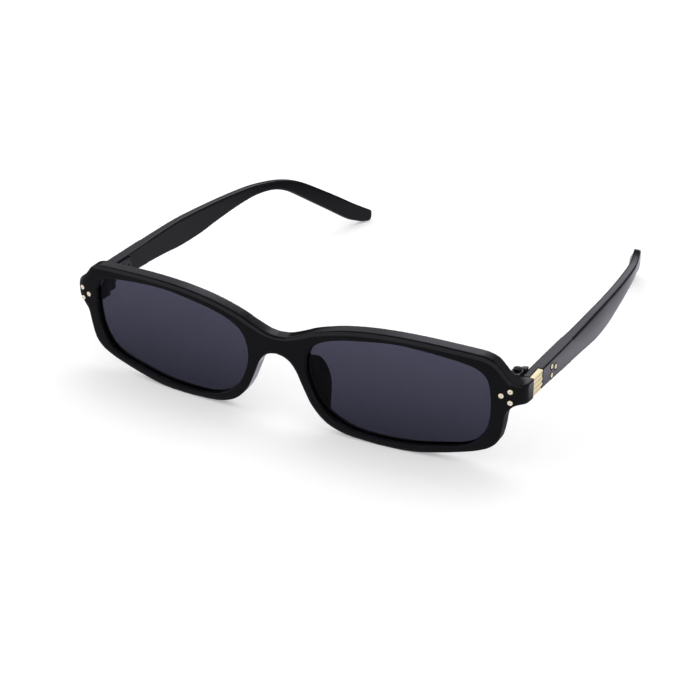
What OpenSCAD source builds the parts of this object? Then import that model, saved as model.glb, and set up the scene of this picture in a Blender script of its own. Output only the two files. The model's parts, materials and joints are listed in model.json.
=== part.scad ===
// Narrow sunglasses: black front and temples, tinted lenses, riveted five-knuckle hinges.
// Millimetres. +X is the wearer's left, the front looks along -Y and +Z is up.
// The origin is on the floor, under the middle of the whole object.

/* [Front] */
// Width of a lens opening
lens_w = 53; // [47:0.5:58]
// Height of a lens opening
lens_h = 30; // [27:0.5:34]
// Distance between the two lens openings
lens_gap = 18.1; // [16:0.1:21]
// Height of the rim above the opening
rim_top = 2.4; // [1.8:0.1:4]
// Height of the rim below the opening
rim_bottom = 2.1; // [1.6:0.1:3.5]
// Width of the front from the opening to the outside of the lug
lug_reach = 8.55; // [8.3:0.05:10]
// Thickness of the front plate
front_t = 3.9; // [3.6:0.1:4.6]
// Lean of the front's top edge towards the face's front, in degrees
lean = 3.8; // [0:0.1:8]
// Radius of the front's curve round the face
face_r = 511; // [350:1:900]
// Height of the top of the bridge
bridge_top = 26.5; // [25:0.1:28]
// Height of the arch below the bridge
arch_top = 21; // [19.5:0.1:22]
// Depth of the bevel round the front face
bevel_depth = 0.4; // [0.2:0.05:0.8]
// Width of that bevel along the rims
bevel_w = 1.25; // [0.6:0.05:1.4]
// Width of that bevel on the bridge
bevel_bridge_w = 0.8; // [0.4:0.05:1]
// Depth of the flat on which the rims rest
rest_flat = 0.2; // [0.08:0.01:0.3]

/* [Lugs] */
// Top of the lug behind the front plate
lug_top = 26; // [25.7:0.05:26.5]
// Underside of the lug behind the front plate
lug_bottom = 20.2; // [19.8:0.05:20.4]
// How far back the lug reaches
lug_back = 10.7; // [10.3:0.1:12]
// Thickness of the lug's side wall
lug_wall = 3.6; // [3.2:0.1:4]
// Radius of the lug's outer corner
lug_corner_r = 4.2; // [3.6:0.1:5]

/* [Lenses] */
// Thickness of a lens
lens_t = 1.8; // [1.4:0.1:2]
// Depth of the lens behind the front face
lens_depth = 1.2; // [0.8:0.1:1.6]
// Height of the tongue round the lens
tongue_h = 0.8; // [0.4:0.1:1]
// Thickness of that tongue
tongue_t = 0.8; // [0.5:0.1:1]

/* [Nose pads] */
// How far a nose pad stands behind the front
pad_depth = 6.7; // [4:0.1:8]
// Width of a nose pad at its root
pad_w = 3.1; // [2.4:0.1:3.4]
// Width of a nose pad's rear edge at its top
pad_top_w = 4.6; // [2:0.1:5]
// Width of a nose pad's rear edge at its bottom
pad_low_w = 1; // [0.8:0.1:3]
// Outward slant of a pad's nose side, in millimetres across for each millimetre of depth
pad_slant = 0.34; // [0.1:0.01:0.5]

/* [Temples] */
// Height of a temple's top edge at the hinge
temple_top = 25.75; // [25.5:0.05:26.1]
// Height of a temple at the hinge
temple_h = 5.3; // [5.1:0.05:5.6]
// Height of a temple at its deepest place
temple_deep_h = 8.7; // [7:0.1:9.5]
// Height of a temple where it bends over the ear
temple_bend_h = 3.4; // [3:0.1:4.5]
// Thickness of a temple at the hinge
temple_t = 3.3; // [3:0.05:3.6]
// Thickness of a temple along its rear half
temple_rear_t = 2.45; // [2.2:0.05:3]
// Thickness of a temple at its tip
temple_tip_t = 2.1; // [1.9:0.05:2.6]
// Length of a temple from its front end to the tip
temple_len = 132.7; // [125:0.1:145]
// Length of the hook from the bend to the tip
hook_len = 42; // [38:0.5:48]
// How far the tip curves inward
tip_inward = 20.8; // [14:0.1:24]
// Radius of the temple's tip
tip_r = 2.1; // [1.9:0.05:2.6]
// Length of the tip's rounding as seen from above
tip_round = 2; // [1:0.1:2.4]
// Height of the wire core
core_h = 2; // [1.2:0.1:2.4]
// Thickness of the wire core
core_t = 1; // [0.6:0.1:1.2]

/* [Hinges] */
// Radius of the hinge knuckles
knuckle_r = 1.45; // [1.3:0.05:1.5]
// Height of the stack of five knuckles
stack_h = 7; // [6.4:0.1:7.2]
// Height of the knuckles' top above the temple's top edge
stack_rise = 0.85; // [0.3:0.05:1]
// Radius of the hinge screw
screw_r = 0.7; // [0.5:0.05:0.8]
// Radius of the screw head
screw_head_r = 1.15; // [1:0.05:1.3]
// Height of the screw head
screw_head_h = 0.55; // [0.4:0.05:0.8]
// Thickness of the hinge plates
plate_t = 1.2; // [1:0.05:1.4]
// How deep the front's hinge plate is sunk into the black material
plate_sunk = 0.4; // [0.2:0.05:0.5]
// How deep the temple's hinge plate is sunk into the black material
temple_plate_sunk = 0.95; // [0.4:0.05:1.05]
// Length of the plate on the temple
temple_plate_l = 13; // [12.8:0.1:15]

/* [Rivets and gold plates] */
// Radius of a rivet's head
rivet_r = 0.85; // [0.7:0.05:0.95]
// Radius of a rivet's shank in the hinge plate
shank_r = 0.5; // [0.4:0.05:0.55]
// Length of a gold plate to the notches between its teeth
gold_l = 5; // [3.5:0.1:6]
// Thickness of a gold plate
gold_t = 1.15; // [0.8:0.05:1.3]
// Radius of the teeth at the gold plate's rear edge
tooth_r = 0.85; // [0.7:0.05:0.88]
// Number of flutes along a gold plate
flutes = 4; // [2:1:5]
// Radius of a flute
flute_r = 0.3; // [0.15:0.05:0.35]

/* [Fits] */
// Gap round what is let into the black material
fit = 0.03; // [0.02:0.01:0.06]
// Running clearance on the hinge screw
running = 0.05; // [0.03:0.01:0.08]
// Gap between neighbouring knuckles
knuckle_gap = 0.05; // [0.04:0.01:0.1]
// Gap between the lug and the open temple
butt_gap = 0.1; // [0.06:0.01:0.3]

/* [Hidden] */
$fn = 48;

// Lens opening: its nasal side, temple side, bottom and top in the front's own plane
nasal_x = lens_gap / 2;
side_x = nasal_x + lens_w;
open_z = rim_bottom;
brow_z = rim_bottom + lens_h;
lug_x = side_x + lug_reach;
lug_inner_x = lug_x - lug_wall;
front_top = brow_z + rim_top;

// Smooth line through knots [x, z], read at x
function knot_slope(k, i) = let (a = max(i - 1, 0), b = min(i + 1, len(k) - 1))
    (k[b][1] - k[a][1]) / (k[b][0] - k[a][0]);
function knot_before(k, x, i = 0) = i < len(k) - 2 && x > k[i + 1][0] ? knot_before(k, x, i + 1) : i;
function line_at(k, x) = let (i = knot_before(k, x), w = k[i + 1][0] - k[i][0], f = (x - k[i][0]) / w)
    k[i][1] * (1 + 2 * f) * (1 - f) * (1 - f) + k[i + 1][1] * f * f * (3 - 2 * f)
    + w * f * (1 - f) * (knot_slope(k, i) * (1 - f) - knot_slope(k, i + 1) * f);

// Closed smooth loop through points, with steps points on each stretch
function bend(a, b, c, d, f) = (2 * b + (c - a) * f + (2 * a - 5 * b + 4 * c - d) * f * f
    + (3 * b - a - 3 * c + d) * f * f * f) / 2;
function loop_through(p, steps) = let (n = len(p))
    [for (i = [0:n - 1], k = [0:steps - 1])
        bend(p[(i + n - 1) % n], p[i], p[(i + 1) % n], p[(i + 2) % n], k / steps)];
function grown(p, by) = let (n = len(p))
    [for (i = [0:n - 1]) let (a = p[(i + n - 1) % n], b = p[(i + 1) % n], v = b - a)
        p[i] + by * [-v[1], v[0]] / norm(v)];

// Lens opening as shares of its half width and half height, clockwise from the nose
opening_shape = [[-1, 0.16], [-0.92, 0.58], [-0.66, 0.82], [-0.23, 0.957], [0.09, 1], [0.51, 0.943],
    [0.83, 0.838], [0.967, 0.627], [1, 0.137], [0.953, -0.369], [0.78, -0.72], [0.432, -0.89],
    [0.017, -1], [-0.474, -0.969], [-0.787, -0.71], [-0.946, -0.287]];
opening_line = loop_through([for (q = opening_shape)
    [side_x - lens_w / 2 * (1 - q[0]), open_z + lens_h / 2 * (1 + q[1])]], 6);

// Outlines of the front as knots: top edge and bottom edge of the half with positive X
top_knots = [[0, bridge_top], [3.2, bridge_top + 0.45], [nasal_x - 1.3, bridge_top + 2.2],
    [nasal_x + 2.5, front_top - 4.1], [nasal_x + 10.2, front_top - 1.9],
    [nasal_x + lens_w * 0.34, front_top - 0.65], [nasal_x + lens_w * 0.5, front_top - 0.1],
    [nasal_x + lens_w * 0.66, front_top - 0.13], [nasal_x + lens_w * 0.8, front_top - 0.5],
    [side_x - 4.5, front_top - 0.93], [side_x - 1.6, front_top - 1.3], [side_x + 1, front_top - 2.45],
    [side_x + 2.6, front_top - 4.2], [side_x + 4.4, lug_top + 2.1], [side_x + 5.4, lug_top + 1.15],
    [side_x + 6.3, lug_top + 0.3], [side_x + 7.2, lug_top - 0.3], [lug_x, lug_top - 0.6]];
bottom_knots = [[0, arch_top], [2.4, arch_top - 0.55], [4.3, arch_top - 1.85],
    [nasal_x - 3.1, arch_top - 4.2], [nasal_x - 1.75, arch_top - 7.4], [nasal_x + 0.7, open_z + 6.2],
    [nasal_x + 2.6, open_z + 3.6], [nasal_x + 4.7, open_z + 1.5], [nasal_x + 7.4, open_z - 0.1],
    [nasal_x + 11.5, open_z - 1.35], [nasal_x + lens_w * 0.34, open_z - rim_bottom + 0.1],
    [nasal_x + lens_w * 0.47, open_z - rim_bottom - rest_flat],
    [nasal_x + lens_w * 0.6, open_z - rim_bottom + 0.2], [nasal_x + lens_w * 0.74, open_z - 0.4],
    [side_x - 6.5, open_z + 1.5], [side_x - 3, open_z + 2.7], [side_x, open_z + 4.3],
    [side_x + 2.1, open_z + 6.8], [side_x + 3, open_z + 10.3], [side_x + 3.7, lug_bottom - 3.5],
    [side_x + 4.75, lug_bottom - 1.6], [side_x + 6, lug_bottom - 0.4], [side_x + 7.2, lug_bottom - 0.15],
    [lug_x, lug_bottom - 0.5]];

function top_z(s) = line_at(top_knots, s);
function bottom_z(s) = line_at(bottom_knots, s);
steepest = 2.2;
function steepness(k, s) = let (m = (line_at(k, s + 0.05) - line_at(k, s - 0.05)) / 0.1)
    min(sqrt(1 + m * m), steepest);
function bevel_at(s) = bevel_bridge_w + (bevel_w - bevel_bridge_w) * min(s / nasal_x, 1);
function bow(s) = face_r - sqrt(face_r * face_r - s * s);
function corner(s) = let (u = max(s - (lug_x - lug_corner_r), 0))
    lug_corner_r - sqrt(max(lug_corner_r * lug_corner_r - u * u, 0));
// Point of the leaning, curved front at s along it, t up it and d behind its face
function on_front(s, t, d) = let (q = bow(abs(s)) + d)
    [s, q * cos(lean) - t * sin(lean), t * cos(lean) + q * sin(lean)];

// Sections of the front: bevelled face, top, bottom and back, with the lug as a deeper stretch
station_steps = 4;
lug_step = 0.2;
corner_step = 7.5;
plain_end = lug_x - lug_corner_r;
knot_stations = [for (i = [0:len(bottom_knots) - 2], k = [0:station_steps - 1])
    bottom_knots[i][0] + (bottom_knots[i + 1][0] - bottom_knots[i][0]) * k / station_steps];
near_lug = [lug_inner_x - lug_step, lug_inner_x];
half_stations = concat([for (s = knot_stations) if (s < lug_inner_x - 2 * lug_step) s], near_lug,
    [for (a = [15:corner_step:90]) let (s = plain_end + lug_corner_r * sin(a))
        if (s > lug_inner_x + lug_step) s]);
stations = concat([for (i = [len(half_stations) - 1:-1:1]) -half_stations[i]], half_stations);
ring_n = 8;
function ring(s) = let (a = abs(s), t1 = top_z(a), t0 = bottom_z(a), c = corner(a),
    e = max(front_t, c + bevel_depth + 0.5),
    b1 = bevel_at(a) * steepness(top_knots, a), b0 = bevel_at(a) * steepness(bottom_knots, a),
    lug = a >= lug_inner_x)
    [on_front(s, t0 + b0, c), on_front(s, t1 - b1, c), on_front(s, t1, c + bevel_depth),
        on_front(s, t1, e),
        lug ? [s, lug_back, lug_top] : on_front(s, t0 + (t1 - t0) * 0.7, e),
        lug ? [s, lug_back, lug_bottom] : on_front(s, t0 + (t1 - t0) * 0.3, e),
        on_front(s, t0, e), on_front(s, t0, c + bevel_depth)];

// Temple: its edges as knots [y, z], its outer face as knots [y, x], its thickness as knots [y, t].
// The thickness is even up to even_end_y, past the hinge plate.
temple_front_y = lug_back + butt_gap;
tip_y = temple_front_y + temple_len;
bend_y = tip_y - hook_len;
temple_x = lug_x - 0.3;
even_end_y = temple_front_y + 19;
deep_y = temple_front_y + 44;
deep_top = temple_top + 1.45;
bend_top = temple_top;
hook_slope = 32;
tip_mid_y = tip_y - tip_r;
tip_end = [tip_mid_y + tip_r * sin(hook_slope), tip_r + tip_r * cos(hook_slope)];
top_edge = [[temple_front_y, temple_top], [temple_front_y + 7, temple_top + 0.42],
    [temple_front_y + 19, temple_top + 0.74], [deep_y - 10, deep_top - 0.25], [deep_y, deep_top],
    [deep_y + 16, deep_top - 0.33], [bend_y - 14, bend_top + 0.55], [bend_y - 5, bend_top],
    [bend_y + 4, bend_top - 1.2], [bend_y + 11.5, bend_top - 3.65], [bend_y + 22.5, bend_top - 10.2],
    [bend_y + 33.5, bend_top - 17.4], tip_end];
bottom_edge = [[temple_front_y, temple_top - temple_h],
    [temple_front_y + 17, temple_top - temple_h - 0.45],
    [deep_y - 10, deep_top - temple_deep_h + 0.65], [deep_y, deep_top - temple_deep_h],
    [deep_y + 11, deep_top - temple_deep_h + 0.42], [deep_y + 17, deep_top - temple_deep_h + 1.3],
    [bend_y - 13, bend_top - temple_bend_h - 0.4], [bend_y - 5, bend_top - temple_bend_h + 0.1],
    [bend_y + 1.5, bend_top - temple_bend_h - 0.5], [bend_y + 7.5, bend_top - temple_bend_h - 2.85],
    [bend_y + 11.5, bend_top - temple_bend_h - 5.4], [bend_y + 22.5, bend_top - 16.45],
    [bend_y + 31.5, bend_top - 22.8], [tip_y - 7, 1.4], [tip_y - 4.2, 0.25], [tip_mid_y, 0]];
outer_face = [[temple_front_y, temple_x], [temple_front_y + 25, temple_x + 0.3],
    [temple_front_y + 52, temple_x - 0.25], [temple_front_y + 80, temple_x - 2.65],
    [tip_y - 38.7, temple_x - tip_inward * 0.295], [tip_y - 24.7, temple_x - tip_inward * 0.53],
    [tip_y - 12.7, temple_x - tip_inward * 0.785], [tip_y, temple_x - tip_inward]];
thickness = [[temple_front_y, temple_t], [even_end_y, temple_t], [temple_front_y + 32, temple_t - 0.45],
    [temple_front_y + 55, temple_rear_t], [temple_front_y + 85, temple_rear_t], [tip_y, temple_tip_t]];
temple_step = 2.2;
temple_ys = [for (y = [temple_front_y:temple_step:tip_mid_y - 1]) y];
function temple_t_at(y) = line_at(thickness, y);
function inner_face_x(y) = line_at(outer_face, y) - temple_t_at(y);
function temple_z(y, part) = let (a = line_at(top_edge, y), b = line_at(bottom_edge, y))
    a + (b - a) * part;

// Hinge: the pivot beside the temple's inner face, and heights of the knuckles
temple_inner_x = temple_x - temple_t;
pivot_x = temple_inner_x - knuckle_r - 0.25;
pivot_y = lug_back + 1.1;
stack_z = temple_top + stack_rise - stack_h;
knuckle_h = (stack_h - 4 * knuckle_gap) / 5;
web_gap = 0.15;
// Behind its knuckles the temple's leaf has a round web, and a longer foot below the temple's edge
web_w = temple_inner_x - fit - pivot_x;
foot_l = 3.5;
foot_drop = 1.7;
// Hinge plate on the front, in the front's own plane
plate_w = 4.8;
plate_h = 5.6;
plate_s = side_x + 3.95;
plate_mid_z = 23;
front_rivet_spots = [[side_x + 2.85, 22.9], [side_x + 5.2, 24.4], [side_x + 5.2, 21.1]];
// Hinge plate on the temple
temple_plate_h = 4.4;
temple_plate_y = pivot_y + knuckle_r + web_gap;
temple_plate_z = temple_top - 0.2 - temple_plate_h;
temple_rivet_spots = [[temple_plate_y + 9, temple_plate_z + 3.15],
    [temple_plate_y + 9.1, temple_plate_z + 0.5], [temple_plate_y + 11.45, temple_plate_z + 2.1]];

// The whole object's middle along Y, from its foremost and rearmost points
front_y = min([for (s = half_stations) on_front(s, top_z(s) - bevel_at(s) * steepness(top_knots, s), 0)[1]]);
middle_y = (front_y + tip_y) / 2;
far = 200;
// How far cuts run past what they cut
beyond = 6;
// Sides of the whole cylinders that a lens's faces are part of
sheet_sides = 1440;
tall = front_top + 2 * beyond;

module on_floor() { translate([0, -middle_y, 0]) children(); }
module left() { on_floor() children(); }
module right() { on_floor() mirror([1, 0, 0]) children(); }

// A flat outline in the front's plane, right through the front
module slab(points) {
    rotate([lean, 0, 0]) translate([0, front_t + beyond, 0]) rotate([90, 0, 0])
        linear_extrude(front_t + 2 * beyond) polygon(points);
}
// The space between two depths behind the curved face
module shell(d0, d1) {
    rotate([lean, 0, 0]) translate([0, face_r, -beyond]) difference() {
        cylinder(r = face_r - d0, h = tall, $fn = sheet_sides);
        translate([0, 0, -1]) cylinder(r = face_r - d1, h = tall + 2, $fn = sheet_sides);
    }
}
// Places children square to the curved face at s and t
module square_to_front(s, t) {
    rotate([lean, 0, 0]) translate([s, bow(s), t]) rotate([0, 0, asin(s / face_r)]) children();
}
module profile_slab(points) { rotate([90, 0, 90]) linear_extrude(far) polygon(points); }

module front_body() {
    last = len(stations) - 1;
    polyhedron(points = [for (s = stations) each ring(s)], faces = concat(
        [[for (k = [ring_n - 1:-1:0]) k]], [[for (k = [0:ring_n - 1]) last * ring_n + k]],
        [for (i = [0:last - 1], k = [0:ring_n - 1]) let (a = i * ring_n, b = a + ring_n, m = (k + 1) % ring_n)
            each [[a + k, a + m, b + m], [a + k, b + m, b + k]]]));
}
module lens_cut() {
    slab(opening_line);
    intersection() {
        slab(grown(opening_line, tongue_h + fit));
        shell(lens_depth + (lens_t - tongue_t) / 2 - fit, lens_depth + (lens_t + tongue_t) / 2 + fit);
    }
}
module front_plate_shape(gap) {
    square_to_front(plate_s, plate_mid_z)
        translate([-plate_w / 2 - gap, front_t - plate_sunk - gap, -plate_h / 2 - gap])
            cube([plate_w + 2 * gap, plate_t + 2 * gap, plate_h + 2 * gap]);
}
// Rivets stand square to the hinge plate, and reach from before the face to the plate's back
module front_rivet_shapes(gap) {
    for (q = front_rivet_spots) rivet_place(q) {
        translate([0, 0, -1]) cylinder(r = rivet_r + gap, h = front_t - plate_sunk + 1);
        cylinder(r = shank_r + gap, h = front_t - plate_sunk + plate_t);
    }
}
module rivet_place(q) {
    rotate([lean, 0, 0]) translate([q[0], bow(plate_s) + (q[0] - plate_s) * plate_s / face_r, q[1]])
        rotate([0, 0, asin(plate_s / face_r)]) rotate([-90, 0, 0]) children();
}
// All that lies behind the face near the lug
module behind_face() {
    skin = [for (s = half_stations) if (s > side_x) [s, bow(s) + corner(s)]];
    rotate([lean, 0, 0]) translate([0, 0, -beyond]) linear_extrude(tall)
        polygon(concat(skin, [[lug_x, lug_back + beyond], [side_x, lug_back + beyond]]));
}
module front_frame() color([0.03, 0.03, 0.035]) on_floor() difference() {
    front_body();
    translate([-far / 2, -far / 2, -beyond]) cube([far, far, beyond]);
    for (side = [0, 1]) mirror([side, 0, 0]) {
        lens_cut();
        front_plate_shape(fit);
        front_rivet_shapes(fit);
    }
}

module lens() color([0.25, 0.26, 0.33]) union() {
    intersection() {
        slab(grown(opening_line, -fit));
        shell(lens_depth, lens_depth + lens_t);
    }
    intersection() {
        slab(grown(opening_line, tongue_h));
        shell(lens_depth + (lens_t - tongue_t) / 2, lens_depth + (lens_t + tongue_t) / 2);
    }
}

// Nose pad: domed sections along the nasal edge of the rim, flush with that edge at their root
pad_rings = 18;
pad_sides = 12;
pad_top_z = arch_top - 0.5;
pad_low_z = open_z + 1.2;
pad_edge = [[pad_low_z - 0.5, nasal_x + 6.3], [open_z + 2.5, nasal_x + 3.6], [open_z + 6.2, nasal_x + 0.75],
    [arch_top - 7.4, nasal_x - 1.7], [arch_top - 4.2, nasal_x - 3], [arch_top - 1, nasal_x - 3.6]];
function pad_ring(i) = let (e = -cos(180 * (i + 0.5) / pad_rings), f = (1 + e) / 2,
    t = pad_low_z + (pad_top_z - pad_low_z) * f, round_end = sqrt(1 - pow(abs(e), 3)),
    h = pad_depth * pow(1 - e * e, e > 0 ? 0.4 : 1) * (0.86 + 0.22 * e),
    rear_w = pad_low_w + (pad_top_w - pad_low_w) * f,
    root_w = pad_w * (0.3 + 0.7 * min(1, 2 * f)), edge = line_at(pad_edge, t) + 0.15)
    [for (k = [0:pad_sides]) let (a = 180 * k / pad_sides, d = h * pow(sin(a), 0.55),
        w = (root_w + (rear_w - root_w) * d / pad_depth) * round_end, g = root_w * (1 - round_end) / 2)
        on_front(edge + g + w * (1 + cos(a)) / 2 + pad_slant * d, t + 0.35 * cos(a) * round_end,
            front_t + fit + d)];
module nose_pad() color([0.05, 0.05, 0.06]) let (n = pad_sides + 1)
    polyhedron(points = [for (i = [0:pad_rings - 1]) each pad_ring(i)], faces = concat(
        [[for (k = [0:n - 1]) k]], [[for (k = [n - 1:-1:0]) (pad_rings - 1) * n + k]],
        [for (i = [0:pad_rings - 2], k = [0:n - 1]) let (a = i * n, b = a + n, m = (k + 1) % n)
            each [[a + m, a + k, b + k], [a + m, b + k, b + m]]]));

// Outline of a temple from the side, and from above, where its end is round
tip_drift = 0.215 * tip_inward / 12.7;
temple_profile = concat([for (y = temple_ys) [y, line_at(top_edge, y)]],
    [tip_end, [tip_mid_y, tip_r], [tip_mid_y, 0]],
    [for (i = [len(temple_ys) - 1:-1:0]) [temple_ys[i], line_at(bottom_edge, temple_ys[i])]]);
temple_plan = concat([for (y = temple_ys) [line_at(outer_face, y), y]],
    [for (a = [0:15:180]) let (y = tip_y - tip_round, reach = (tip_round + 0.1) * sin(a))
        [line_at(outer_face, y) - temple_t_at(y) * (1 - cos(a)) / 2 - tip_drift * reach, y + reach]],
    [for (i = [len(temple_ys) - 1:-1:0]) [inner_face_x(temple_ys[i]), temple_ys[i]]]);
module temple_body() {
    intersection() {
        union() {
            profile_slab(temple_profile);
            translate([0, tip_y - tip_r, tip_r]) rotate([0, 90, 0]) cylinder(r = tip_r, h = far);
        }
        translate([0, 0, -1]) linear_extrude(tall) polygon(temple_plan);
    }
}
// The wire core follows the middle of the temple from behind the hinge plate into the hook
core_start_y = temple_plate_y + temple_plate_l + 2;
core_end_y = tip_y - 9;
core_step = 3.3;
core_ys = [for (y = [core_start_y:core_step:core_end_y]) y];
module core_shape(gap) {
    h = core_h / 2 + gap;
    t = core_t / 2 + gap;
    ends = [core_ys[0] - gap, core_ys[len(core_ys) - 1] + gap];
    ys = concat([ends[0]], [for (i = [1:len(core_ys) - 2]) core_ys[i]], [ends[1]]);
    n = len(ys);
    intersection() {
        profile_slab(concat([for (y = ys) [y, temple_z(y, 0.5) + h]],
            [for (i = [n - 1:-1:0]) [ys[i], temple_z(ys[i], 0.5) - h]]));
        translate([0, 0, -1]) linear_extrude(tall) polygon(concat(
            [for (y = ys) [line_at(outer_face, y) - temple_t_at(y) / 2 + t, y]],
            [for (i = [n - 1:-1:0]) [line_at(outer_face, ys[i]) - temple_t_at(ys[i]) / 2 - t, ys[i]]]));
    }
}
module temple_plate_shape(gap) {
    translate([temple_inner_x + temple_plate_sunk - plate_t - gap, temple_plate_y - gap, temple_plate_z - gap])
        cube([plate_t + 2 * gap, temple_plate_l + 2 * gap, temple_plate_h + 2 * gap]);
}
module temple_rivet_shapes(gap) {
    for (q = temple_rivet_spots) translate([temple_inner_x + temple_plate_sunk, q[0], q[1]]) rotate([0, 90, 0]) {
        cylinder(r = rivet_r + gap, h = line_at(outer_face, q[0]) - temple_inner_x - temple_plate_sunk);
        translate([0, 0, -plate_t]) cylinder(r = shank_r + gap, h = plate_t + 1);
    }
}
// Gold plate: a block as high as the temple's end, with round teeth at its rear edge
tooth_pitch = temple_h / 3;
tooth_rise = 0.45;
flute_out = 0.13 + flute_r * 0.35;
module gold_shape(gap) {
    translate([temple_x - gold_t - gap, 0, 0]) rotate([90, 0, 90]) linear_extrude(gold_t + 2) {
        translate([temple_front_y - 1, temple_top - temple_h - 1]) square([gold_l + 1 + gap, temple_h + 3]);
        for (k = [0:2])
            translate([temple_front_y + gold_l, temple_top - temple_h + tooth_rise + tooth_pitch * (k + 0.5)])
                circle(r = tooth_r + gap);
    }
}
module temple() color([0.03, 0.03, 0.035]) difference() {
    temple_body();
    gold_shape(fit);
    temple_plate_shape(fit);
    temple_rivet_shapes(fit);
    core_shape(fit);
}
module temple_core() color([0.6, 0.6, 0.62]) core_shape(0);
module temple_plaque() color([0.9, 0.78, 0.5]) difference() {
    intersection() {
        temple_body();
        gold_shape(0);
    }
    for (k = [0:flutes - 1])
        translate([temple_x + flute_out, temple_front_y + 1, temple_top - temple_h * (k + 0.5) / flutes])
            rotate([-90, 0, 0]) cylinder(r = flute_r, h = gold_l + 3);
}

module knuckle(k, from, reach_y, hole_r) {
    z = stack_z + k * (knuckle_h + knuckle_gap);
    difference() {
        union() {
            translate([pivot_x, pivot_y, z]) cylinder(r = knuckle_r, h = knuckle_h);
            translate([pivot_x - (from == 0 ? knuckle_r : 0), min(pivot_y, reach_y), z])
                cube([from == 0 ? 2 * knuckle_r : knuckle_r, abs(pivot_y - reach_y), knuckle_h]);
        }
        translate([pivot_x, pivot_y, z - 1]) cylinder(r = hole_r, h = knuckle_h + 2);
    }
}
module hinge_front_leaf() color([0.35, 0.35, 0.37]) {
    web_back = pivot_y - knuckle_r - web_gap;
    web_front = on_front(plate_s, plate_mid_z, front_t + plate_t - plate_sunk)[1] - 0.4;
    difference() {
        union() {
            front_plate_shape(0);
            translate([pivot_x - knuckle_r, web_front, stack_z])
                cube([2 * knuckle_r, web_back - web_front, stack_h]);
            for (k = [0, 2, 4]) knuckle(k, 0, web_back - 0.1, screw_r + fit);
        }
        for (q = front_rivet_spots) rivet_place(q) cylinder(r = shank_r + fit, h = front_t + 3);
    }
}
module hinge_temple_leaf() color([0.35, 0.35, 0.37]) {
    difference() {
        union() {
            temple_plate_shape(0);
            translate([pivot_x, temple_plate_y, stack_z]) {
                intersection() {
                    cube([web_w, web_w, stack_h]);
                    translate([web_w, 0, 0]) cylinder(r = web_w, h = stack_h);
                }
                cube([web_w, foot_l, temple_top - foot_drop - stack_z]);
            }
            for (k = [1, 3]) knuckle(k, 1, temple_plate_y + 0.1, screw_r + running);
        }
        for (q = temple_rivet_spots) translate([temple_inner_x - plate_t, q[0], q[1]]) rotate([0, 90, 0])
            cylinder(r = shank_r + fit, h = 3);
    }
}
module hinge_screw() color([0.2, 0.2, 0.21]) translate([pivot_x, pivot_y, stack_z]) difference() {
    union() {
        cylinder(r = screw_r, h = stack_h + 0.1);
        translate([0, 0, stack_h + fit]) cylinder(r = screw_head_r, h = screw_head_h);
    }
    translate([-screw_head_r, -0.15, stack_h + fit + screw_head_h - 0.3]) cube([2 * screw_head_r, 0.3, 1]);
}
module front_rivets() color([0.9, 0.78, 0.5]) intersection() {
    front_rivet_shapes(0);
    behind_face();
}
module temple_rivets() color([0.9, 0.78, 0.5]) temple_rivet_shapes(0);

front_frame();
left() lens();  // lens_left
right() lens();  // lens_right
left() nose_pad();  // nose_pad_left
right() nose_pad();  // nose_pad_right
left() temple();  // temple_left
right() temple();  // temple_right
left() temple_core();  // temple_core_left
right() temple_core();  // temple_core_right
left() hinge_front_leaf();  // hinge_front_leaf_left
right() hinge_front_leaf();  // hinge_front_leaf_right
left() hinge_temple_leaf();  // hinge_temple_leaf_left
right() hinge_temple_leaf();  // hinge_temple_leaf_right
left() hinge_screw();  // hinge_screw_left
right() hinge_screw();  // hinge_screw_right
left() front_rivets();  // front_rivets_left
right() front_rivets();  // front_rivets_right
left() temple_rivets();  // temple_rivets_left
right() temple_rivets();  // temple_rivets_right
left() temple_plaque();  // temple_plaque_left
right() temple_plaque();  // temple_plaque_right
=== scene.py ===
"""Looks of the narrow sunglasses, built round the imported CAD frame.

The acetate pieces, the lenses and the gold plates are polished copies of their CAD solids, and the
hinge leaves and screws are copies with bevelled edges. The rivets' heads are modelled here, at the
places that the CAD nodes give.
"""

import json
import math

import bpy
from bpy.props import FloatProperty, FloatVectorProperty, IntProperty, PointerProperty
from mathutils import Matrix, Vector

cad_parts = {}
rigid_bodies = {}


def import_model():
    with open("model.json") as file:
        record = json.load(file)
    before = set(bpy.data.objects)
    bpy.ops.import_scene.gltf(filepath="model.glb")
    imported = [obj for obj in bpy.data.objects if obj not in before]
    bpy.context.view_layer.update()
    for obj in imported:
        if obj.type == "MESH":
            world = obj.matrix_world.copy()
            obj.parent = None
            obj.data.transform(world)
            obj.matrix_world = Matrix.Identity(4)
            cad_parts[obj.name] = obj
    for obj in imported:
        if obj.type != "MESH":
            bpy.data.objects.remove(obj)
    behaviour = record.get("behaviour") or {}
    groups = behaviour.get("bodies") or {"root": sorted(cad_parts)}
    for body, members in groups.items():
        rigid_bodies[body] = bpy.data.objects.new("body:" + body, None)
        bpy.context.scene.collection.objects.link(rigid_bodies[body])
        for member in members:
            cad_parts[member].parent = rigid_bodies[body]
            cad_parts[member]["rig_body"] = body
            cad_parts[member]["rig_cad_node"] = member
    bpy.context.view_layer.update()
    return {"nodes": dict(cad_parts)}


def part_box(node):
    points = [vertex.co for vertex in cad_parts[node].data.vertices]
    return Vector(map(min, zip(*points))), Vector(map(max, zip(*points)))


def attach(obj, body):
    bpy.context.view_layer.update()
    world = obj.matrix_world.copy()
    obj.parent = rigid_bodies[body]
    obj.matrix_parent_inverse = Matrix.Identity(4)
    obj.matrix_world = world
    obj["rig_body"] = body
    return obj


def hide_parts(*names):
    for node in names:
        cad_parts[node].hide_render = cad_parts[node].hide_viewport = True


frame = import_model()
NODES = frame["nodes"]

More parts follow.
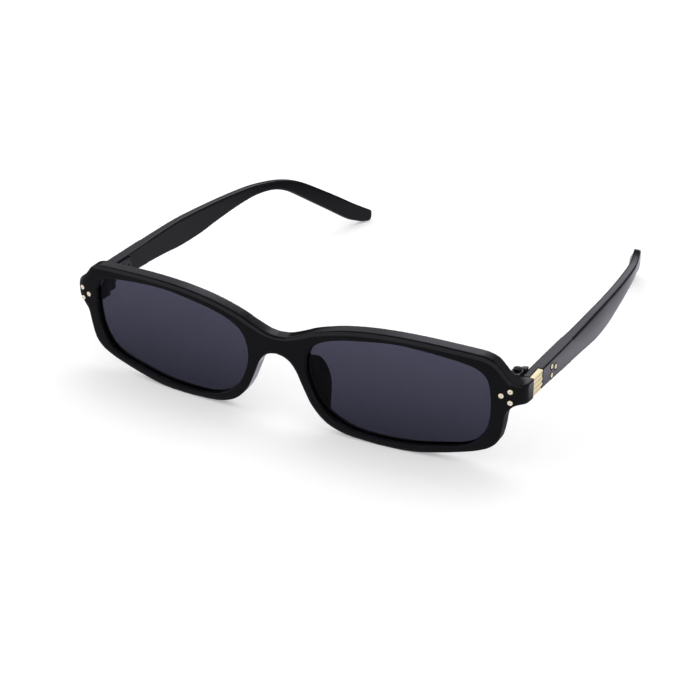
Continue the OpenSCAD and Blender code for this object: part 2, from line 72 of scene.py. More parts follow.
bl_info = {
    "name": "Narrow sunglasses",
    "version": (1, 0, 0),
    "blender": (4, 5, 0),
    "location": "3D View > Sidebar > Sunglasses",
    "description": "Dresses the CAD frame of a pair of narrow sunglasses",
    "category": "Object",
}

MM = 0.001
SIDES = ("left", "right")
FRONT_BODY = "front"
ARM_BODY = {"left": "temple_left_arm", "right": "temple_right_arm"}

# Camera at the photograph's place, in the frame's metres and degrees
CAMERA_PLACE = (0.22705, -0.44332, 0.23570)
CAMERA_TILT = 64.183
CAMERA_TURN = 29.162
CAMERA_LENS = 94.92
CAMERA_SENSOR = 36.0
CAMERA_NEAR = 0.01
CAMERA_FAR = 20.0

# Lamp over the object, in metres and watts
LAMP_PLACE = (-0.1, 0.35, 0.75)
LAMP_SIZE = (0.7, 0.5)
LAMP_POWER = 1.5

# Distance within which the points of a CAD solid are merged
MERGE = 0.0005 * MM

# Turn about Z and then X at which facets are made, in radians
ASKEW = 0.6

# Edges sharper than the first angle are bevelled; those flatter than the others are shaded smooth
BEVEL_ANGLE = math.radians(35)
SMOOTH_ANGLE = math.radians(30)
RIVET_SMOOTH_ANGLE = math.radians(50)

# How much a lens's faces look along Y at least: the rest is its edge
LENS_FACING = 0.8

# Finding a rivet's ends: how thin a slice its inner end is, how far off its outer end is at least,
# and how much that end's faces look outward at least
END_SLICE = 0.05 * MM
END_DISTANCE = 2 * MM
END_FACING = 0.5

# Rivet's head: how thick its disc is and how much its end face looks outward at least. The dome
# rises by thirds over rings, each with its width and its share of a third. In the middle is a
# dimple with a slope, inside a flat ring.
HEAD_THICK = 0.5 * MM
HEAD_SIDES = 40
HEAD_FACING = 0.9
HEAD_RIM = (0.08 * MM, 1.4)
HEAD_RINGS = ((0.1 * MM, 1.0), (0.16 * MM, 0.6))
FLAT_RING = 0.22 * MM
DIMPLE_SLOPE = 0.06 * MM
DIMPLE_DEPTH = 0.09 * MM

# Height of the top of the first of the gold plates' flutes, the flutes' spacing, and how far a
# plate's colour has run over to the painted shade of the flutes' grooves from one top to the next
FLUTE_TOP = 25.75 * MM
FLUTE_PITCH = 1.325 * MM
FLUTE_PAINTED_SHADE = ((0.3, 0.0), (0.44, 1.0), (0.56, 1.0), (0.7, 0.0))

# Properties that hold the colours of the two kinds of acetate
ACETATES = {"black_acetate": "acetate", "pad_acetate": "pad"}

# Metals: the properties with their colour and with their flutes' painted groove shade, their
# roughness, the scale, stretch and depth of their grain, and how metallic they are
METALS = {
    "gold_trim": ("gold", "flute", 0.25, 2500.0, (1, 0.3, 1), 0.003 * MM, 0.2),
    "rivet_gold": ("rivet", None, 0.45, 4000.0, (1, 1, 1), 0.003 * MM, 0.15),
    # Painted shade on the rivets' edges and in their dimples
    "rivet_painted_shade": ("flute", None, 0.4, 4000.0, (1, 1, 1), 0.003 * MM, 0.4),
    "hinge_steel": ("steel", None, 0.38, 3000.0, (1, 1, 0.15), 0.004 * MM, 1.0),
    "screw_steel": ("screw", None, 0.3, 3000.0, (1, 1, 1), 0.003 * MM, 1.0),
    "core_wire": ("core", None, 0.35, 2000.0, (1, 0.1, 1), 0.004 * MM, 1.0),
}

# Faint violet of what gloss shows
GLOSS_TINT = (0.98, 0.96, 1.07)

# Floor: its height, its colour, and what it adds of its own where it is seen
FLOOR_HEIGHT = -0.02 * MM
FLOOR_COLOR = (0.82, 0.82, 0.825, 1)
FLOOR_ROUGHNESS = 0.9
FLOOR_GLOW = 0.25

# Painted reflection, which the floor shows to gloss alone: under the object, grey levels along a
# slanted way, between two places on it, the dim ones a painted shade
ASIDE_WAY = (1, 0.26, 0)
ASIDE_SPAN = (-40 * MM, 100 * MM)
ASIDE_LEVELS = (
    (0.2, 0.3), (0.43, 0.05), (0.64, 0.05), (0.71, 0.55), (0.89, 0.68), (0.918, 0.95),
    (0.936, 0.85), (0.947, 0.68), (0.965, 0.58), (0.975, 0.42), (0.986, 0.25), (1.0, 0.15))
# What it shows before the object: grey levels along Y, and where they pass into those above
AHEAD_SPAN = (-260 * MM, -60 * MM)
AHEAD_LEVELS = ((0.3, 0.5), (0.5, 0.15), (1.0, 0.15))
UNDER_SPAN = (-30 * MM, -14 * MM)
# A bright patch of painted reflection under the bridge, with the radii between which it fades
PATCH_PLACE = (-8.5 * MM, -53 * MM, 0)
PATCH_LEVEL = 1.0
PATCH_SPAN = (14 * MM, 7 * MM)
# How far the floor's painted reflection dims behind the object
DIM_SPAN = (130 * MM, 200 * MM)
DIM_LEVEL = 0.15

# What gloss shows of the surroundings: grey levels by height, before and behind the object, and
# by how far to the left the way behind leads
SKY_BEFORE = ((0.0, 0.5), (0.1, 0.6), (0.2, 0.6), (0.3, 0.1))
SKY_BEHIND = ((0.0, 0.04), (0.15, 0.1), (0.3, 0.9), (0.6, 1.0), (0.8, 0.15))
SIDE_SPAN = (-0.6, 0.2)
SIDE_LEVELS = ((0.0, 0.35), (0.16, 0.42), (0.3, 0.9), (0.5, 1.0), (1.0, 0.2))
SIDE_GAIN = 1.2
# Ways along Y between which before passes into behind, and the light from both for all but gloss
REAR_SPAN = (-0.1, 0.1)
LIGHT_BEFORE = 1.05
LIGHT_BEHIND = 0.8
# The white that is seen as background
BACKGROUND = 1.0


def length(name, description, default, low, high):
    """A size that is given here in millimetres."""
    return FloatProperty(
        name=name, description=description, default=default * MM, min=low * MM, max=high * MM,
        unit="LENGTH", precision=5)


def rounds(name, description, default, high=30):
    """A number of rounds of smoothing."""
    return IntProperty(name=name, description=description, default=default, min=0, max=high)


def factor(name, description, default, low=0):
    """A share of one."""
    return FloatProperty(
        name=name, description=description, default=default, min=low, max=1, subtype="FACTOR")


def colour(name, description, default):
    """The colour of a finish."""
    return FloatVectorProperty(
        name=name, description=description, default=default, min=0, max=1, size=3,
        subtype="COLOR")


class SunglassesShape(bpy.types.PropertyGroup):
    """Sizes of what is modelled here."""

    acetate_grain: length(
        "Acetate grain", "Facet size while the acetate is polished", 0.17, 0.15, 0.8)
    plate_grain: length(
        "Gold plate grain", "Facet size while a gold plate is polished", 0.055, 0.05, 0.3)
    lens_grain: length("Lens grain", "Facet size while a lens is polished", 0.23, 0.2, 0.5)
    polish: rounds("Polish", "Rounds of smoothing, which set how soft the acetate's edges are", 16)
    rear_polish: rounds(
        "Temple polish", "Further rounds of smoothing behind the gold plates", 34, 60)
    rear_start: length(
        "Temple polish start", "Where the further smoothing of the temples starts",
        -35.0, -50.0, 60.0)
    lens_polish: rounds("Lens polish", "Rounds of smoothing of the lenses", 8)
    plate_polish: rounds("Gold plate polish", "Rounds of smoothing of the gold plates", 2)
    front_thinning: factor(
        "Front thinning", "Share of the polished front's facets that are kept", 0.34, 0.1)
    temple_thinning: factor(
        "Temple thinning", "Share of the polished temples' facets that are kept", 0.72, 0.1)
    rivet_radius: length("Rivet radius", "Radius of a rivet's head", 0.74, 0.6, 1.0)
    rivet_stand: length(
        "Rivet stand", "How far the edge of a rivet's head stands proud", 0.06, 0, 0.3)
    rivet_dome: length(
        "Rivet dome", "How far a rivet's head rises inside its edge", 0.12, 0, 0.4)
    screw_bevel: length("Screw bevel", "Bevel on the screw heads", 0.12, 0, 0.25)
    metal_bevel: length("Metal bevel", "Bevel on the hinge leaves", 0.1, 0, 0.3)
    floor_size: FloatProperty(
        name="Floor size", description="Width of the floor",
        default=4.0, min=1.0, max=20.0, unit="LENGTH")


class SunglassesFinish(bpy.types.PropertyGroup):
    """Colours and gloss of the finishes."""

    acetate: colour("Acetate", "Colour of the black acetate", (0.0025, 0.0025, 0.003))
    acetate_roughness: factor(
        "Acetate roughness", "Roughness of the polished acetate", 0.1)
    pad: colour("Nose pad", "Colour of the nose pads", (0.004, 0.004, 0.005))
    # Painted light: a lens is lighter at its top as painted reflection, darker at its bottom as
    # painted shade
    lens_top_with_painted_reflection: colour("Lens top", "Tint at the top of a lens", (0.057, 0.0573, 0.087))
    lens_low_with_painted_shade: colour("Lens bottom", "Tint at the bottom of a lens", (0.029, 0.029, 0.047))
    gold: colour("Gold", "Colour of the gold plates", (1.0, 0.90, 0.58))
    # Painted shade, put into the gold plates' flutes' grooves and on the rivets' edges and dimples
    flute: colour(
        "Flute", "Colour of the gold plates' flutes and the rivets' edges", (0.78, 0.56, 0.28))
    rivet: colour("Rivet", "Colour of the satin rivet heads", (1.0, 0.94, 0.80))
    steel: colour("Hinge steel", "Colour of the hinge leaves", (0.16, 0.16, 0.175))
    screw: colour(
        "Screw", "Colour of the blackened screws and the rivets' shanks", (0.05, 0.05, 0.055))
    core: colour("Core", "Colour of the wire cores", (0.5, 0.5, 0.52))


def shape():
    return bpy.context.scene.sunglasses_shape


def finish():
    return bpy.context.scene.sunglasses_finish


# Selection and edit-mode helpers

def pick(obj):
    """Selects obj alone."""
    if bpy.context.mode != "OBJECT":
        bpy.ops.object.mode_set(mode="OBJECT")
    bpy.ops.object.select_all(action="DESELECT")
    obj.select_set(True)
    bpy.context.view_layer.objects.active = obj


def edit(obj):
    """Opens obj's mesh with all of it selected."""
    pick(obj)
    bpy.ops.object.mode_set(mode="EDIT")
    bpy.ops.mesh.select_all(action="SELECT")


def done():
    """Closes the mesh that is open."""
    bpy.ops.object.mode_set(mode="OBJECT")


def settle(obj):
    """Puts the object's place into its mesh."""
    pick(obj)
    bpy.ops.object.transform_apply(location=True, rotation=True, scale=True)


def duplicate(obj, name):
    """A copy of obj with a name of its own."""
    pick(obj)
    bpy.ops.object.duplicate()
    copy = bpy.context.active_object
    copy.name = copy.data.name = name
    return copy


def solid_copy(node, name):
    """A merged copy of a CAD node, free of its body."""
    copy = duplicate(NODES[node], name)
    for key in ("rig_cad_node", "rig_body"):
        del copy[key]
    copy.parent = None
    edit(copy)
    bpy.ops.mesh.remove_doubles(threshold=MERGE)
    done()
    return copy


def modify(obj, kind, **values):
    """Adds a modifier and applies it."""
    pick(obj)
    bpy.ops.object.modifier_add(type=kind)
    mod = obj.modifiers[-1]
    for key, value in values.items():
        setattr(mod, key, value)
    bpy.ops.object.modifier_apply(modifier=mod.name)


def pair(left, stem):
    """The left piece and its mirror image on the right, each after the name of its side."""
    right = duplicate(left, f"{stem}_right")
    edit(right)
    bpy.ops.transform.resize(value=(-1, 1, 1), center_override=(0, 0, 0))
    bpy.ops.mesh.normals_make_consistent(inside=False)
    done()
    return zip(SIDES, (left, right))


def turn(obj, angle, axis):
    """Turns obj's mesh about the origin."""
    edit(obj)
    bpy.ops.transform.rotate(value=angle, orient_axis=axis, center_override=(0, 0, 0))
    done()


def polished(node, name, grain, smoothing):
    """A copy of a CAD node with evenly softened edges.

    It lies askew while its facets are made, so that no long edge runs along their grid."""
    obj = solid_copy(node, name)
    turn(obj, ASKEW, "Z")
    turn(obj, ASKEW, "X")
    modify(obj, "REMESH", mode="VOXEL", voxel_size=grain, use_smooth_shade=True)
    modify(obj, "SMOOTH", factor=0.5, iterations=smoothing)
    turn(obj, -ASKEW, "X")
    turn(obj, -ASKEW, "Z")
    return obj


def bevelled(node, name, width):
    """A copy of a CAD node with small bevels on its sharp edges."""
    obj = solid_copy(node, name)
    modify(obj, "BEVEL", width=width, segments=2, limit_method="ANGLE",
           angle_limit=BEVEL_ANGLE, use_clamp_overlap=True, harden_normals=False)
    pick(obj)
    bpy.ops.object.shade_smooth_by_angle(angle=SMOOTH_ANGLE)
    return obj


def select_faces(obj, wanted):
    """Opens obj's mesh with those faces selected for whose normal wanted says yes."""
    edit(obj)
    bpy.ops.mesh.select_all(action="DESELECT")
    done()
    for face in obj.data.polygons:
        face.select = wanted(face.normal)
    bpy.ops.object.mode_set(mode="EDIT")
    bpy.ops.mesh.select_mode(type="FACE")


def paint(obj, index):
    """Gives the selected faces the material at index."""
    obj.active_material_index = index
    bpy.ops.object.material_slot_assign()


def dress(obj, *names):
    """Gives obj the materials named, in place of those that it has."""
    obj.data.materials.clear()
    for name in names:
        obj.data.materials.append(material_of(name))


def body_of(group, side):
    """The body that carries a piece of the front or of a temple."""
    return FRONT_BODY if group == "front" else ARM_BODY[side]


def keep(obj, body, node):
    """Gives a finished piece its body, in place of its CAD node."""
    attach(obj, body)
    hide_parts(node)


# Helpers for node trees

def places(tree):
    """The three Object coordinates, by letter."""
    coords = tree.nodes.new("ShaderNodeTexCoord")
    parts = tree.nodes.new("ShaderNodeSeparateXYZ")
    tree.links.new(coords.outputs["Object"], parts.inputs["Vector"])
    return parts.outputs


def measured(tree, operation, vector):
    """A number that a Vector Math node makes of the Object coordinates and a vector."""
    coords = tree.nodes.new("ShaderNodeTexCoord")
    node = tree.nodes.new("ShaderNodeVectorMath")
    node.operation = operation
    node.inputs[1].default_value = vector
    tree.links.new(coords.outputs["Object"], node.inputs[0])
    return node.outputs["Value"]


def object_noise(tree, scale, detail, stretch=(1, 1, 1)):
    """Noise on Object coordinates."""
    coords = tree.nodes.new("ShaderNodeTexCoord")
    mapping = tree.nodes.new("ShaderNodeMapping")
    mapping.inputs["Scale"].default_value = stretch
    noise = tree.nodes.new("ShaderNodeTexNoise")
    noise.inputs["Scale"].default_value = scale
    noise.inputs["Detail"].default_value = detail
    tree.links.new(coords.outputs["Object"], mapping.inputs["Vector"])
    tree.links.new(mapping.outputs["Vector"], noise.inputs["Vector"])
    return noise.outputs["Fac"]


def fixed(tree, value):
    """A number that stays the same."""
    node = tree.nodes.new("ShaderNodeValue")
    node.outputs["Value"].default_value = value
    return node.outputs["Value"]


def calculated(tree, operation, *sources, clamp=False):
    """What a Math node makes of its sources."""
    node = tree.nodes.new("ShaderNodeMath")
    node.operation = operation
    node.use_clamp = clamp
    for source, socket in zip(sources, node.inputs):
        tree.links.new(source, socket)
    return node.outputs["Value"]


def spread(tree, source, low, high, start=0.0, end=1.0, clamp=True):
    """Value that runs from low to high while source runs from start to end."""
    node = tree.nodes.new("ShaderNodeMapRange")
    node.clamp = clamp
    for name, value in (("From Min", start), ("From Max", end), ("To Min", low), ("To Max", high)):
        node.inputs[name].default_value = value
    tree.links.new(source, node.inputs["Value"])
    return node.outputs["Result"]


def span(tree, source, start, end, clamp=True):
    """Share of the way from start to end that source has gone."""
    return spread(tree, source, 0.0, 1.0, start, end, clamp)


def ramp(tree, source, stops):
    """Colour that follows source from stop to stop, each a place and a colour."""
    node = tree.nodes.new("ShaderNodeValToRGB")
    elements = node.color_ramp.elements
    while len(elements) < len(stops):
        elements.new(0.5)
    for element, (place, color) in zip(elements, stops):
        element.position = place
        element.color = (*color, 1)
    tree.links.new(source, node.inputs["Fac"])
    return node.outputs["Color"]


def levels(tree, source, stops):
    """Grey level that follows source from stop to stop."""
    return ramp(tree, source, [(place, (level, level, level)) for place, level in stops])


def mixed(tree, share, first, second):
    """Value that runs from first to second with share."""
    node = tree.nodes.new("ShaderNodeMix")
    for source, index in ((share, 0), (first, 2), (second, 3)):
        tree.links.new(source, node.inputs[index])
    return node.outputs[0]


def bump(tree, shader, source, distance, strength):
    """Bumps in shader's surface that follow source."""
    node = tree.nodes.new("ShaderNodeBump")
    node.inputs["Distance"].default_value = distance
    node.inputs["Strength"].default_value = strength
    tree.links.new(source, node.inputs["Height"])
    tree.links.new(node.outputs["Normal"], shader.inputs["Normal"])


def mirrored_rays(tree):
    """One for rays that gloss sends out, zero for those through glass and for the others."""
    path = tree.nodes.new("ShaderNodeLightPath").outputs
    return calculated(
        tree, "SUBTRACT", path["Is Glossy Ray"], path["Is Transmission Ray"], clamp=True)


def seen_rays(tree):
    """One for rays from the camera and through glass, zero for the others."""
    path = tree.nodes.new("ShaderNodeLightPath").outputs
    return calculated(tree, "MAXIMUM", path["Is Camera Ray"], path["Is Transmission Ray"])


# Materials

def new_material(name):
    """An empty Principled material: its node tree and its shader."""
    material = bpy.data.materials.new(f"finish_{name}")
    material.use_nodes = True
    tree = material.node_tree
    return material, tree, tree.nodes["Principled BSDF"]


def acetate_material(name):
    """Polished acetate: faintly cloudy, with the softest of tumbling marks."""
    material, tree, shader = new_material(name)
    color = getattr(finish(), ACETATES[name])
    lighter = [c * 1.5 for c in color]
    cloud = object_noise(tree, 90.0, 3.0)
    tint = ramp(tree, cloud, ((0.35, color), (0.75, lighter)))
    tree.links.new(tint, shader.inputs["Base Color"])
    marks = object_noise(tree, 900.0, 6.0)
    roughness = finish().acetate_roughness
    rough = spread(tree, marks, roughness - 0.03, roughness + 0.05)
    tree.links.new(rough, shader.inputs["Roughness"])
    shader.inputs["IOR"].default_value = 1.49
    bump(tree, shader, marks, 0.002 * MM, 0.22)
    return material


def lens_material():
    """Dark grey tinted lens with a slight blue cast, lighter at its top as painted reflection and
    darker at its lower edge as painted shade.
    """
    material, tree, shader = new_material("tinted_lens")
    low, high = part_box("lens_left")
    height = span(tree, places(tree)["Z"], low.z, high.z)
    # The tint runs from painted shade at the bottom to painted reflection at the top
    tint = ramp(tree, height, ((0.1, finish().lens_low_with_painted_shade), (0.9, finish().lens_top_with_painted_reflection)))
    tree.links.new(tint, shader.inputs["Base Color"])
    smudge = object_noise(tree, 60.0, 5.0)
    tree.links.new(spread(tree, smudge, 0.0, 0.03), shader.inputs["Roughness"])
    shader.inputs["IOR"].default_value = 1.35
    shader.inputs["Transmission Weight"].default_value = 1.0
    return material


def fluted(tree, color, shade):
    """The colour, run over to a painted shade in the flutes' grooves, which lie level along a gold
    plate.
    """
    turns = span(tree, places(tree)["Z"], FLUTE_TOP, FLUTE_TOP - FLUTE_PITCH, clamp=False)
    painted_shade_mask = levels(tree, calculated(tree, "FRACT", turns), FLUTE_PAINTED_SHADE)
    mix = tree.nodes.new("ShaderNodeMix")
    mix.data_type = "RGBA"
    tree.links.new(painted_shade_mask, mix.inputs[0])
    tree.links.new(color, mix.inputs[6])
    mix.inputs[7].default_value = (*shade, 1)
    return mix.outputs[2]


def metal_material(name):
    """Metal with a drawn or tumbled grain."""
    color_name, shade_name, roughness, grain, stretch, depth, metallic = METALS[name]
    material, tree, shader = new_material(name)
    color = getattr(finish(), color_name)
    darker = [c * 0.93 for c in color]
    worn = object_noise(tree, 220.0, 4.0)
    tint = ramp(tree, worn, ((0.3, darker), (0.6, color)))
    # The gold plates get a painted shade in their flutes' grooves
    if shade_name is not None:
        tint = fluted(tree, tint, getattr(finish(), shade_name))
    tree.links.new(tint, shader.inputs["Base Color"])
    drawn = object_noise(tree, grain, 3.0, stretch)
    rough = spread(tree, drawn, roughness * 0.75, roughness * 1.25)
    tree.links.new(rough, shader.inputs["Roughness"])
    shader.inputs["Metallic"].default_value = metallic
    bump(tree, shader, drawn, depth, 0.5)
    return material


def material_of(name):
    """The scene's material of that name, made when it is first asked for."""
    made = bpy.data.materials.get(f"finish_{name}")
    if made is not None:
        return made
    if name == "tinted_lens":
        return lens_material()
    if name in ACETATES:
        return acetate_material(name)
    return metal_material(name)


# Operators

class GLASSES_OT_front(bpy.types.Operator):
    """Polish the front"""

    bl_idname = "sunglasses.front"
    bl_label = "Front"

    def execute(self, context):
        size = shape()
        obj = polished("front_frame", "acetate_front", size.acetate_grain, size.polish)
        modify(obj, "DECIMATE", ratio=size.front_thinning)
        dress(obj, "black_acetate")
        keep(obj, FRONT_BODY, "front_frame")
        return {"FINISHED"}


class GLASSES_OT_temples(bpy.types.Operator):
    """Polish both temples, and finish the wire cores inside them"""

    bl_idname = "sunglasses.temples"
    bl_label = "Temples"

    def execute(self, context):
        size = shape()
        left = polished("temple_left", "acetate_temple_left", size.acetate_grain, size.polish)
        rear = left.vertex_groups.new(name="rear")
        behind = [v.index for v in left.data.vertices if v.co.y > size.rear_start]
        rear.add(behind, 1.0, "REPLACE")
        modify(left, "SMOOTH", factor=0.5, iterations=size.rear_polish, vertex_group="rear")
        modify(left, "DECIMATE", ratio=size.temple_thinning)
        dress(left, "black_acetate")
        for side, obj in pair(left, "acetate_temple"):
            keep(obj, ARM_BODY[side], f"temple_{side}")
            dress(NODES[f"temple_core_{side}"], "core_wire")
        return {"FINISHED"}


class GLASSES_OT_lenses(bpy.types.Operator):
    """Smooth the two lenses and blacken their edges, in the rims' grooves, as painted shade"""

    bl_idname = "sunglasses.lenses"
    bl_label = "Lenses"

    def execute(self, context):
        size = shape()
        left = polished("lens_left", "lens_sheet_left", size.lens_grain, size.lens_polish)
        # The edges get black acetate as painted shade of the rims' grooves
        dress(left, "tinted_lens", "black_acetate")
        select_faces(left, lambda normal: abs(normal.y) < LENS_FACING)
        paint(left, 1)
        done()
        for side, obj in pair(left, "lens_sheet"):
            keep(obj, FRONT_BODY, f"lens_{side}")
        return {"FINISHED"}


class GLASSES_OT_nose_pads(bpy.types.Operator):
    """Round off the nose pads"""

    bl_idname = "sunglasses.nose_pads"
    bl_label = "Nose pads"

    def execute(self, context):
        size = shape()
        left = polished("nose_pad_left", "nose_pad_soft_left", size.acetate_grain, size.polish)
        dress(left, "pad_acetate")
        for side, obj in pair(left, "nose_pad_soft"):
            keep(obj, FRONT_BODY, f"nose_pad_{side}")
        return {"FINISHED"}


class GLASSES_OT_hinges(bpy.types.Operator):
    """Bevel the hinge leaves"""

    bl_idname = "sunglasses.hinges"
    bl_label = "Hinge leaves"

    def execute(self, context):
        for group in ("front", "temple"):
            node, stem = f"hinge_{group}_leaf", f"hinge_leaf_{group}"
            left = bevelled(f"{node}_left", f"{stem}_left", shape().metal_bevel)
            dress(left, "hinge_steel")
            for side, obj in pair(left, stem):
                keep(obj, body_of(group, side), f"{node}_{side}")
        return {"FINISHED"}


class GLASSES_OT_screws(bpy.types.Operator):
    """Round the heads of the hinge screws"""

    bl_idname = "sunglasses.screws"
    bl_label = "Hinge screws"

    def execute(self, context):
        left = bevelled("hinge_screw_left", "hinge_screw_round_left", shape().screw_bevel)
        dress(left, "screw_steel")
        for side, obj in pair(left, "hinge_screw_round"):
            keep(obj, FRONT_BODY, f"hinge_screw_{side}")
        return {"FINISHED"}


class GLASSES_OT_plaques(bpy.types.Operator):
    """Soften the fluted gold plates"""

    bl_idname = "sunglasses.plaques"
    bl_label = "Gold plates"

    def execute(self, context):
        size = shape()
        left = polished(
            "temple_plaque_left", "gold_plate_left", size.plate_grain, size.plate_polish)
        dress(left, "gold_trim")
        for side, obj in pair(left, "gold_plate"):
            keep(obj, ARM_BODY[side], f"temple_plaque_{side}")
        return {"FINISHED"}


class GLASSES_OT_rivets(bpy.types.Operator):
    """Round the rivets' heads"""

    bl_idname = "sunglasses.rivets"
    bl_label = "Rivets"

    def execute(self, context):
        for group, outward in (("front", Vector((0, -1, 0))), ("temple", Vector((1, 0, 0)))):
            node, stem = f"{group}_rivets", f"rivets_{group}"
            left = solid_copy(f"{node}_left", f"{stem}_left")
            dress(left, "screw_steel")
            edit(left)
            bpy.ops.mesh.separate(type="LOOSE")
            done()
            shanks = list(context.selected_objects)
            heads = [rivet_head(*rivet_end(shank, outward)) for shank in shanks]
            pick(shanks[0])
            for obj in shanks + heads:
                obj.select_set(True)
            bpy.ops.object.join()
            bpy.ops.object.shade_smooth_by_angle(angle=RIVET_SMOOTH_ANGLE)
            left = context.active_object
            left.name = left.data.name = f"{stem}_left"
            for side, obj in pair(left, stem):
                keep(obj, body_of(group, side), f"{node}_{side}")
        return {"FINISHED"}


def rivet_end(shank, outward):
    """Where a rivet's outer end is, and the way it faces: straight away from its inner end."""
    mesh = shank.data
    inner = min(mesh.polygons, key=lambda face: face.center.dot(outward))
    way = -inner.normal
    ring = [v.co for v in mesh.vertices if (v.co - inner.center).dot(way) < END_SLICE]
    start = sum(ring, Vector()) / len(ring)
    outer = [face for face in mesh.polygons if face.normal.dot(way) > END_FACING
             and (face.center - start).dot(way) > END_DISTANCE]
    area = sum(face.area for face in outer)
    height = sum((face.center - start).dot(way) * face.area for face in outer) / area
    return start + way * height, way


def rivet_head(centre, way):
    """A low domed disc with a small dimple, on a rivet's end; its edge and dimple are painted
    shade.
    """
    bpy.ops.object.select_all(action="DESELECT")
    bpy.ops.mesh.primitive_cylinder_add(
        vertices=HEAD_SIDES, radius=shape().rivet_radius, depth=HEAD_THICK,
        location=centre + way * (shape().rivet_stand - HEAD_THICK / 2),
        rotation=way.to_track_quat("Z", "Y").to_euler())
    head = bpy.context.active_object
    # Painted shade: the first finish, kept by the head's side and edge ring and given to its
    # dimple
    dress(head, "rivet_painted_shade", "rivet_gold")
    settle(head)
    select_faces(head, lambda normal: normal.dot(way) > HEAD_FACING)
    rise = shape().rivet_dome / 3
    width, share = HEAD_RIM
    bpy.ops.mesh.inset(thickness=width, depth=share * rise)
    paint(head, 1)
    for width, share in HEAD_RINGS:
        bpy.ops.mesh.inset(thickness=width, depth=share * rise)
    bpy.ops.mesh.inset(thickness=FLAT_RING, depth=0)
    # The dimple and its slope take the painted shade
    paint(head, 0)
    bpy.ops.mesh.inset(thickness=DIMPLE_SLOPE, depth=-DIMPLE_DEPTH)
    done()
    return head


# Stage

def painted_floor_reflection(tree):
    """Painted reflection: grey levels that the floor glows with for gloss alone.

    They are dim under and just before the object, a painted shade, and bright along its left
    temple, under the bridge and far before it."""
    forward = places(tree)["Y"]
    aside = span(tree, measured(tree, "DOT_PRODUCT", ASIDE_WAY), *ASIDE_SPAN)
    under = levels(tree, aside, ASIDE_LEVELS)
    ahead = levels(tree, span(tree, forward, *AHEAD_SPAN), AHEAD_LEVELS)
    tone = mixed(tree, span(tree, forward, *UNDER_SPAN), ahead, under)
    patch = span(tree, measured(tree, "DISTANCE", PATCH_PLACE), *PATCH_SPAN)
    tone = mixed(tree, patch, tone, fixed(tree, PATCH_LEVEL))
    dim = spread(tree, span(tree, forward, *DIM_SPAN), 1.0, DIM_LEVEL)
    return calculated(tree, "MULTIPLY", tone, dim)


def floor_material():
    """Pale floor that renders white away from the object and keeps its soft shadow."""
    material, tree, shader = new_material("pale_floor")
    shader.inputs["Base Color"].default_value = FLOOR_COLOR
    shader.inputs["Roughness"].default_value = FLOOR_ROUGHNESS
    shader.inputs["Specular IOR Level"].default_value = 0.0
    glow = tree.nodes.new("ShaderNodeEmission")
    tree.links.new(spread(tree, seen_rays(tree), 0.0, FLOOR_GLOW), glow.inputs["Strength"])
    plain = tree.nodes.new("ShaderNodeAddShader")
    tree.links.new(shader.outputs[0], plain.inputs[0])
    tree.links.new(glow.outputs[0], plain.inputs[1])
    # For gloss the floor glows with its painted reflection instead of showing its lit colour
    mirror = tree.nodes.new("ShaderNodeEmission")
    mirror.inputs["Color"].default_value = (*GLOSS_TINT, 1)
    tree.links.new(painted_floor_reflection(tree), mirror.inputs["Strength"])
    choice = tree.nodes.new("ShaderNodeMixShader")
    tree.links.new(mirrored_rays(tree), choice.inputs[0])
    tree.links.new(plain.outputs[0], choice.inputs[1])
    tree.links.new(mirror.outputs[0], choice.inputs[2])
    tree.links.new(choice.outputs[0], tree.nodes["Material Output"].inputs["Surface"])
    return material


def studio_world():
    """White surroundings.

    Gloss sees a bright wall behind the object on its left, a bright strip low before it, and a
    dim ceiling."""
    world = bpy.data.worlds.new("studio")
    world.use_nodes = True
    tree = world.node_tree
    light = tree.nodes["Background"]
    way = places(tree)
    rear = span(tree, way["Y"], *REAR_SPAN)
    side = levels(tree, span(tree, way["X"], *SIDE_SPAN), SIDE_LEVELS)
    behind = calculated(
        tree, "MULTIPLY", levels(tree, way["Z"], SKY_BEHIND), spread(tree, side, 0.0, SIDE_GAIN))
    gloss = mixed(tree, rear, levels(tree, way["Z"], SKY_BEFORE), behind)
    soft = spread(tree, rear, LIGHT_BEFORE, LIGHT_BEHIND)
    plain = mixed(tree, seen_rays(tree), soft, fixed(tree, BACKGROUND))
    share = mirrored_rays(tree)
    tree.links.new(mixed(tree, share, plain, gloss), light.inputs["Strength"])
    tint = ramp(tree, share, ((0.0, (1, 1, 1)), (1.0, GLOSS_TINT)))
    tree.links.new(tint, light.inputs["Color"])
    return world


def add_lamp():
    """A rectangular lamp aimed at the object."""
    bpy.ops.object.light_add(type="AREA", location=LAMP_PLACE)
    lamp = bpy.context.active_object
    lamp.name = "key_softbox"
    lamp.data.shape = "RECTANGLE"
    lamp.data.size, lamp.data.size_y = LAMP_SIZE
    lamp.data.energy = LAMP_POWER
    lamp.rotation_euler = (-lamp.location).to_track_quat("-Z", "Y").to_euler()
    lamp.visible_glossy = False


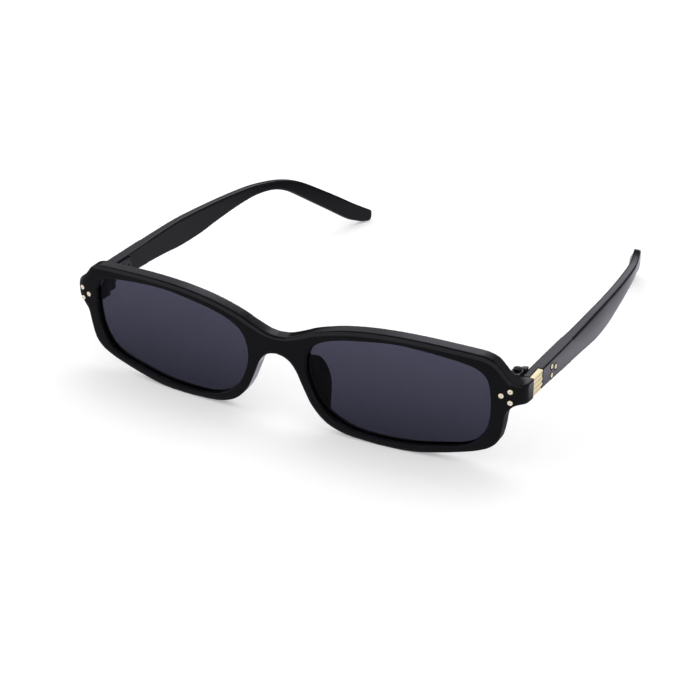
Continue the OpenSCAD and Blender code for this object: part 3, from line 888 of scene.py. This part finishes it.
def add_camera():
    """The camera that took the photograph."""
    bpy.ops.object.camera_add(location=CAMERA_PLACE)
    camera = bpy.context.active_object
    camera.rotation_euler = (math.radians(CAMERA_TILT), 0, math.radians(CAMERA_TURN))
    camera.data.lens = CAMERA_LENS
    camera.data.sensor_width = CAMERA_SENSOR
    camera.data.clip_start = CAMERA_NEAR
    camera.data.clip_end = CAMERA_FAR
    return camera


class GLASSES_OT_stage(bpy.types.Operator):
    """Set the floor, the light and the camera"""

    bl_idname = "sunglasses.stage"
    bl_label = "Stage"

    def execute(self, context):
        bpy.ops.object.select_all(action="DESELECT")
        bpy.ops.mesh.primitive_plane_add(size=shape().floor_size, location=(0, 0, FLOOR_HEIGHT))
        floor = context.active_object
        floor.name = "floor"
        floor.data.materials.append(floor_material())
        context.scene.world = studio_world()
        add_lamp()
        context.scene.camera = add_camera()
        context.scene.view_settings.view_transform = "Standard"
        return {"FINISHED"}


class GLASSES_PT_panel(bpy.types.Panel):
    """Sidebar panel with every step"""

    bl_idname = "GLASSES_PT_panel"
    bl_label = "Sunglasses"
    bl_space_type = "VIEW_3D"
    bl_region_type = "UI"
    bl_category = "Sunglasses"

    def draw(self, context):
        column = self.layout.column(align=True)
        for operator in OPERATORS:
            column.operator(operator.bl_idname)
        for group in (shape(), finish()):
            for name in group.__annotations__:
                column.prop(group, name)


OPERATORS = (
    GLASSES_OT_front, GLASSES_OT_temples, GLASSES_OT_lenses, GLASSES_OT_nose_pads,
    GLASSES_OT_hinges, GLASSES_OT_screws, GLASSES_OT_plaques, GLASSES_OT_rivets, GLASSES_OT_stage,
)
CLASSES = (SunglassesShape, SunglassesFinish, *OPERATORS, GLASSES_PT_panel)


def register():
    for cls in CLASSES:
        bpy.utils.register_class(cls)
    bpy.types.Scene.sunglasses_shape = PointerProperty(type=SunglassesShape)
    bpy.types.Scene.sunglasses_finish = PointerProperty(type=SunglassesFinish)


def unregister():
    del bpy.types.Scene.sunglasses_finish
    del bpy.types.Scene.sunglasses_shape
    for cls in reversed(CLASSES):
        bpy.utils.unregister_class(cls)


def main():
    register()
    for operator in OPERATORS:
        group, name = operator.bl_idname.split(".")
        getattr(getattr(bpy.ops, group), name)()


if __name__ == "__main__":
    main()
